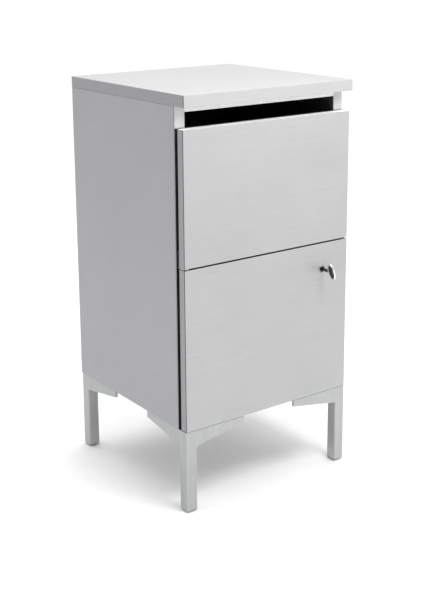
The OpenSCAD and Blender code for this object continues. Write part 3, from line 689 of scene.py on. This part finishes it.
def build_key_blade(place, width, thickness, start, end):
    """Blade with a milled groove on each face, wafer cuts on both edges and a pointed tip."""
    cuts = [1.1 * MM, 0.5 * MM, 1.4 * MM, 0.8 * MM, 1.2 * MM, 0.6 * MM]
    pitch = 2.6 * MM
    flat = 0.45 * MM  # half the length of a cut's bottom
    crest = 0.15 * MM  # how deep the edge is between two cuts
    first = end - (len(cuts) + 0.6) * pitch
    stations = [(start, 0.0), (first - 1.2 * MM, 0.0)]
    for i, painted_contact_shade in enumerate(cuts):
        at = first + i * pitch
        stations += [(at - flat, painted_contact_shade), (at + flat, painted_contact_shade), (at + pitch / 2, crest)]
    stations += [(end - 0.6 * MM, 0.4 * MM), (end, 1.6 * MM)]
    face = thickness / 2
    groove_floor = face - 0.35 * MM
    groove_half = 0.9 * MM
    floor_half = 0.6 * MM
    sections = []
    for z, painted_contact_shade in stations:
        half = width / 2 - painted_contact_shade
        side = [(face, -half), (face, -groove_half), (groove_floor, -floor_half),
                (groove_floor, floor_half), (face, groove_half), (face, half)]
        outline = side + [(-x, -y) for x, y in side]
        sections.append([Vector((x, y, z)) for x, y in outline])
    bm = lofted(sections, closed=False)
    bmesh.ops.transform(bm, matrix=place, verts=bm.verts)
    # The blade in near black nickel: painted shade.
    new_piece("key_blade_finished", bm, [nickel_painted_shade_and_reflection], "key", "key_blade", sharp=20)


def extent(node, place):
    """Lowest and highest corner of a CAD node in the frame that place stands for."""
    inverse = place.inverted()
    points = [inverse @ v.co for v in nodes[node].data.vertices]
    return [Vector([end(p[i] for p in points) for i in (X, Y, Z)]) for end in (min, max)]


def build_key():
    """Bow and blade, as wide, long and thick as their CAD nodes."""
    place = key_axes()
    low, high = extent("key_bow", place)
    size = high - low
    build_key_bow(place, width=size.y, length=size.z, thickness=size.x, start=high.z)
    low, high = extent("key_blade", place)
    size = high - low
    build_key_blade(place, width=size.y, thickness=size.x, start=low.z, end=high.z)


# ---- stage ----


def stage_piece(name, bm, material):
    """Part of the setting, which isn't part of the object."""
    mesh = bpy.data.meshes.new(name)
    bm.to_mesh(mesh)
    bm.free()
    mesh.materials.append(material)
    piece = bpy.data.objects.new(name, mesh)
    bpy.context.scene.collection.objects.link(piece)
    return piece


def build_world(base, slope, least):
    """Soft surroundings: brightness is base plus slope times the direction, and never under least."""
    world = bpy.data.worlds.new("surroundings")
    world.use_nodes = True
    tree = world.node_tree
    direction = tree.nodes.new("ShaderNodeTexCoord").outputs["Generated"]
    lean = tree.nodes.new("ShaderNodeVectorMath")
    lean.operation = "DOT_PRODUCT"
    lean.inputs[1].default_value = slope
    tree.links.new(direction, lean.inputs[0])
    brightness = lean.outputs["Value"]
    for operation, number in (("ADD", base), ("MAXIMUM", least)):
        node = tree.nodes.new("ShaderNodeMath")
        node.operation = operation
        node.inputs[1].default_value = number
        tree.links.new(brightness, node.inputs[0])
        brightness = node.outputs["Value"]
    background = tree.nodes["Background"]
    background.inputs["Color"].default_value = WHITE
    tree.links.new(brightness, background.inputs["Strength"])
    bpy.context.scene.world = world


def soft_light(name, place, size, power):
    """A square lamp aimed at the cabinet's middle; size in metres, power in watts."""
    aim = Vector((0, 0, 0.4))
    light = bpy.data.lights.new(name, "AREA")
    light.shape = "SQUARE"
    light.size = size
    light.energy = power
    lamp = bpy.data.objects.new(name, light)
    lamp.location = place
    lamp.rotation_mode = "QUATERNION"
    lamp.rotation_quaternion = (aim - place).to_track_quat("-Z", "Y")
    lamp.visible_camera = False
    bpy.context.scene.collection.objects.link(lamp)


def build_stage():
    """Pale floor, soft lights, and a plain white backdrop that only the camera sees."""
    floor_r = 40.0
    backdrop_r = 0.98 * floor_r
    floor_mesh = bmesh.new()
    bmesh.ops.create_circle(floor_mesh, cap_ends=True, cap_tris=False, segments=96, radius=floor_r)
    paper = Shader("floor_paper")
    fibre = paper.noise(paper.stretched(40), detail=3)
    paper.colour(paper.ramp(fibre, [(NOISE_LOW, PAPER_DARK), (NOISE_HIGH, PAPER_LIGHT)]))
    paper.rough(paper.ranged(fibre, 0.8, 0.95))
    stage_piece("floor", floor_mesh, paper.material)

    backdrop_mesh = bmesh.new()
    bmesh.ops.create_uvsphere(backdrop_mesh, u_segments=48, v_segments=24, radius=backdrop_r)
    white = Shader("backdrop_white", Emission_Color=WHITE, Emission_Strength=1.0)
    backdrop = stage_piece("backdrop", backdrop_mesh, white.material)
    backdrop.visible_diffuse = False
    backdrop.visible_glossy = False
    backdrop.visible_transmission = False
    backdrop.visible_shadow = False

    build_world(base=0.62, slope=(0.50, 0.20, 0.90), least=0.10)
    soft_light("top_light", Vector((-0.2, 0.9, 2.4)), size=1.6, power=16)
    soft_light("front_light", Vector((0.10, -0.85, 1.45)), size=0.5, power=11)


def build_camera():
    """Eye-level studio view from the front left, turned and pitched as the cabinet is seen."""
    place = Vector((-1.3024, -1.7907, 1.0485))
    yaw = math.radians(36.04)
    pitch = math.radians(12.80)
    roll = math.radians(-0.38)
    forward = Vector((math.sin(yaw) * math.cos(pitch), math.cos(yaw) * math.cos(pitch), -math.sin(pitch)))
    level = Vector((math.cos(yaw), -math.sin(yaw), 0.0))
    upright = level.cross(forward)
    right = level * math.cos(roll) + upright * math.sin(roll)
    up = upright * math.cos(roll) - level * math.sin(roll)
    data = bpy.data.cameras.new("camera")
    data.sensor_width = 36.0
    data.lens = 67.27
    data.shift_y = -0.16
    camera = bpy.data.objects.new("camera", data)
    turn = Matrix((right, up, -forward)).transposed().to_4x4()
    camera.matrix_world = Matrix.Translation(place) @ turn
    bpy.context.scene.collection.objects.link(camera)
    bpy.context.scene.camera = camera


# ---- all of it ----

build_boards()
build_fronts()
build_legs()
build_hardware()
build_key()
build_stage()
build_camera()
bpy.context.scene.view_settings.view_transform = "Standard"
